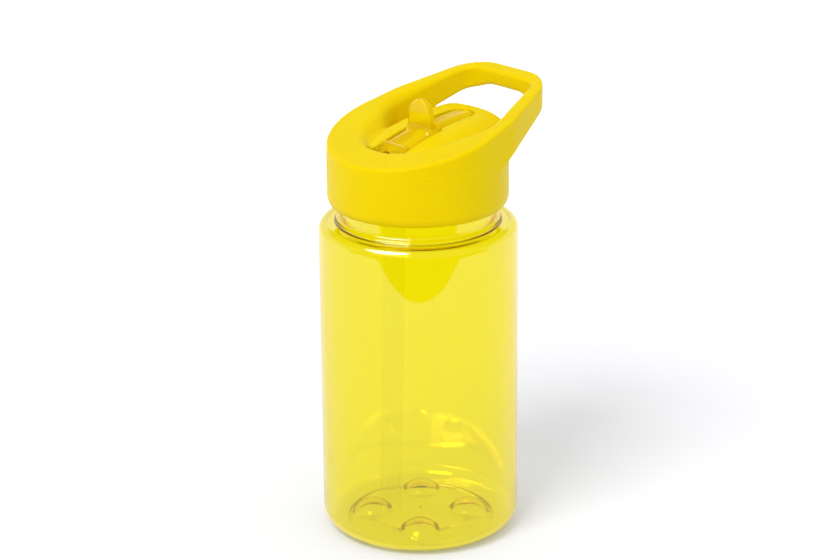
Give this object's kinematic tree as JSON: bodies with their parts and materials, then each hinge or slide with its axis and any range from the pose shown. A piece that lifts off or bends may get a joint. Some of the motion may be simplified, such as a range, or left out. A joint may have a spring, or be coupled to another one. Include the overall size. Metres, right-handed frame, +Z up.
{
  "type": "kids water bottle",
  "caption": "Clear yellow kids' water bottle with an opaque screw cap, a sloping loop handle, a flip spout folded into the dome of the cap, and a straw inside.",
  "frame": {"origin": "centre of the flat ring that the bottle stands on, on the bottle's axis", "axes": "+Z up along the bottle's axis, +Y towards the loop handle, -Y towards the low front rim where the spout is drunk from, +X to the right seen from the front"},
  "size_m": [0.065, 0.0771, 0.1484],
  "materials": {
    "clear_body": "clear tinted yellow, polished",
    "clear_spout": "clear tinted yellow, polished",
    "cap_plastic": "opaque yellow, satin moulded",
    "straw_plastic": "milky translucent",
    "soft_seal": "matt soft silicone"
  },
  "bodies": {
    "bottle": {"bottle_body": "clear_body"},
    "seal_ring": {"cap_gasket": "soft_seal"},
    "cap": {"screw_cap": "cap_plastic", "spout_seal": "soft_seal", "straw": "straw_plastic", "vent_valve": "soft_seal"},
    "spout": {"mouthpiece": "clear_spout"}
  },
  "joints": [
    {"name": "cap_lift", "type": "slide", "parent": "bottle", "child": "seal_ring", "axis": [0, 0, 1], "range_m": [0, 0.006]},
    {"name": "cap_turn", "type": "hinge", "parent": "seal_ring", "child": "cap", "pos_m": [0, 0, 0.12], "axis": [0, 0, 1], "range_deg": [0, 540]},
    {"name": "spout_flip", "type": "hinge", "parent": "cap", "child": "spout", "pos_m": [0, -0.01, 0.12932], "axis": [1, 0, 0], "range_deg": [0, 90]}
  ],
  "couplings": [
    {"joint": "cap_lift", "follows": "cap_turn", "m_per_rad": 0.00063662}
  ]
}
